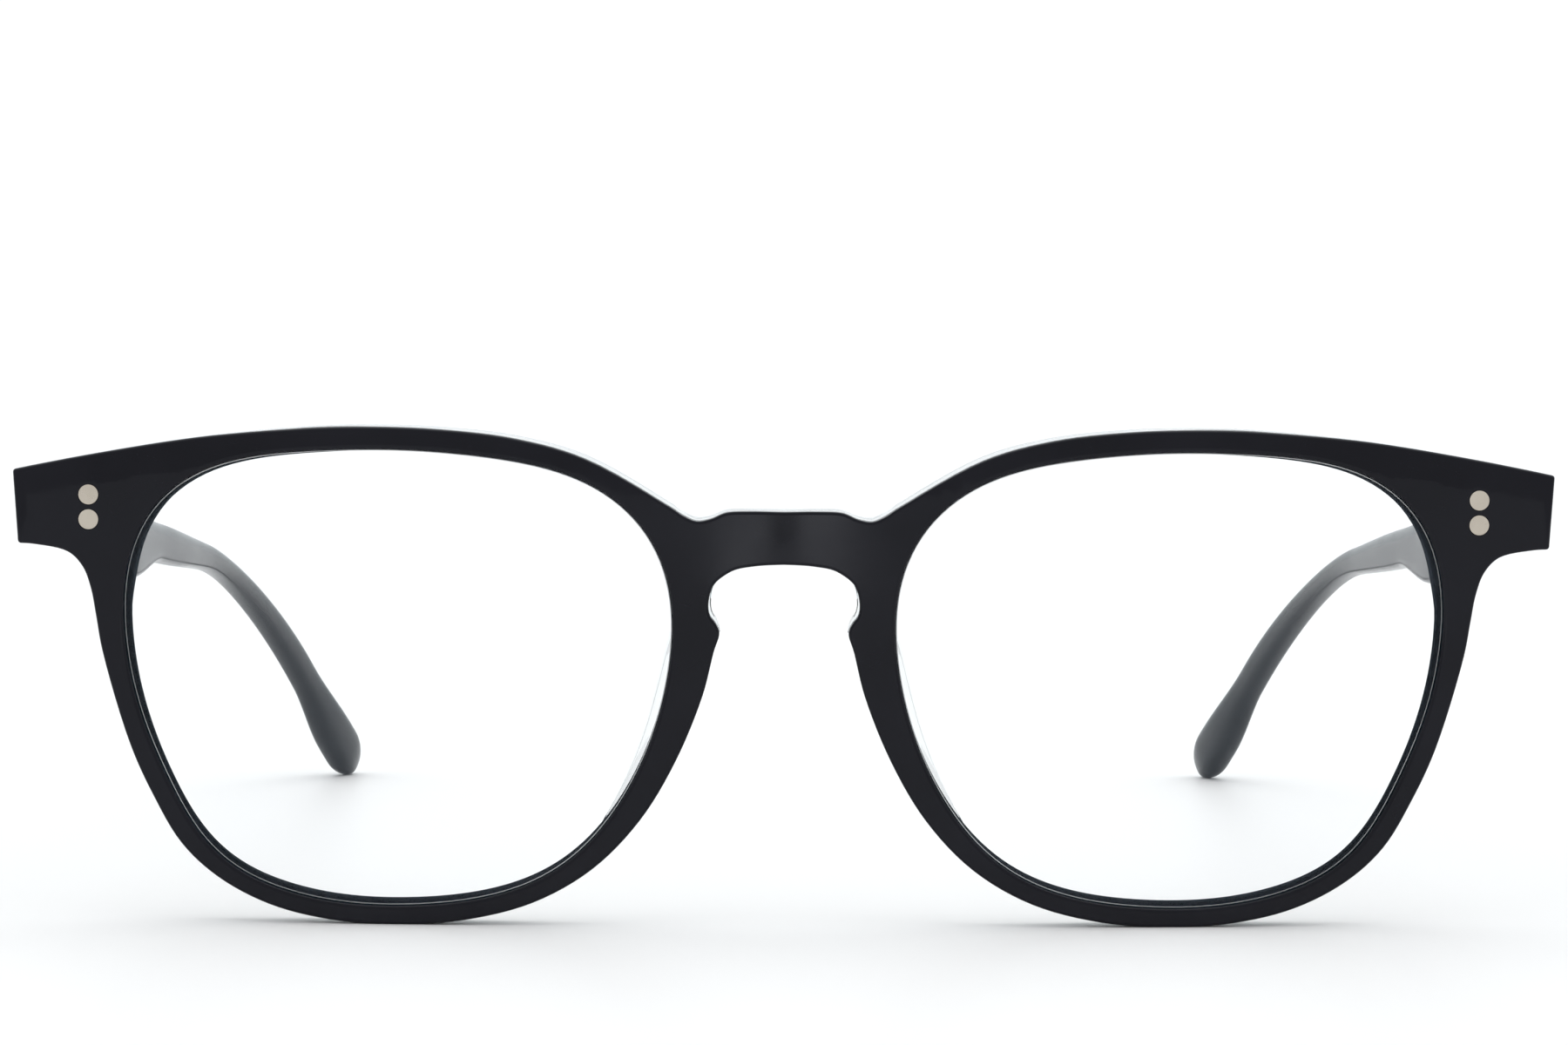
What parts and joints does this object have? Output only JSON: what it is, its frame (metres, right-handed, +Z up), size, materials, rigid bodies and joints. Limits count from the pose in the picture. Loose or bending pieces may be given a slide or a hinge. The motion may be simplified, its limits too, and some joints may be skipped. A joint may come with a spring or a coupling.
{
  "type": "eyeglasses",
  "caption": "Full-rim eyeglasses with soft rectangular lenses, a black front on clear backing, clear nose pads, riveted barrel hinges and folding temples.",
  "frame": {"origin": "middle of the box around the open glasses, at the height of the surface they stand on", "axes": "+X towards the wearer's left, +Y backwards along the temples, +Z up; the front faces -Y"},
  "size_m": [0.14, 0.133, 0.0452],
  "materials": {
    "black_acetate": "polished acetate",
    "crystal_acetate": "polished clear acetate",
    "demo_lens": "clear plano lens",
    "hinge_metal": "tumbled nickel silver",
    "rivet_metal": "filed and polished nickel silver",
    "screw_steel": "turned",
    "core_wire": "drawn"
  },
  "bodies": {
    "front": {"front_face_layer": "black_acetate", "front_back_layer": "crystal_acetate", "lens_right": "demo_lens", "lens_left": "demo_lens", "nose_pad_right": "crystal_acetate", "nose_pad_left": "crystal_acetate", "front_hinge_right": "hinge_metal", "front_hinge_left": "hinge_metal", "front_rivet_upper_right": "rivet_metal", "front_rivet_lower_right": "rivet_metal", "front_rivet_upper_left": "rivet_metal", "front_rivet_lower_left": "rivet_metal", "hinge_screw_right": "screw_steel", "hinge_screw_left": "screw_steel"},
    "temple_right": {"temple_right": "black_acetate", "temple_core_right": "core_wire", "temple_hinge_right": "hinge_metal", "temple_rivet_front_right": "rivet_metal", "temple_rivet_rear_right": "rivet_metal"},
    "temple_left": {"temple_left": "black_acetate", "temple_core_left": "core_wire", "temple_hinge_left": "hinge_metal", "temple_rivet_front_left": "rivet_metal", "temple_rivet_rear_left": "rivet_metal"}
  },
  "joints": [
    {"name": "hinge_right", "type": "hinge", "parent": "front", "child": "temple_right", "pos_m": [-0.0638, -0.05587, 0.0376], "axis": [0, 0, -1], "range_deg": [0, 79]},
    {"name": "hinge_left", "type": "hinge", "parent": "front", "child": "temple_left", "pos_m": [0.0638, -0.05587, 0.0376], "axis": [0, 0, 1], "range_deg": [0, 84]}
  ]
}
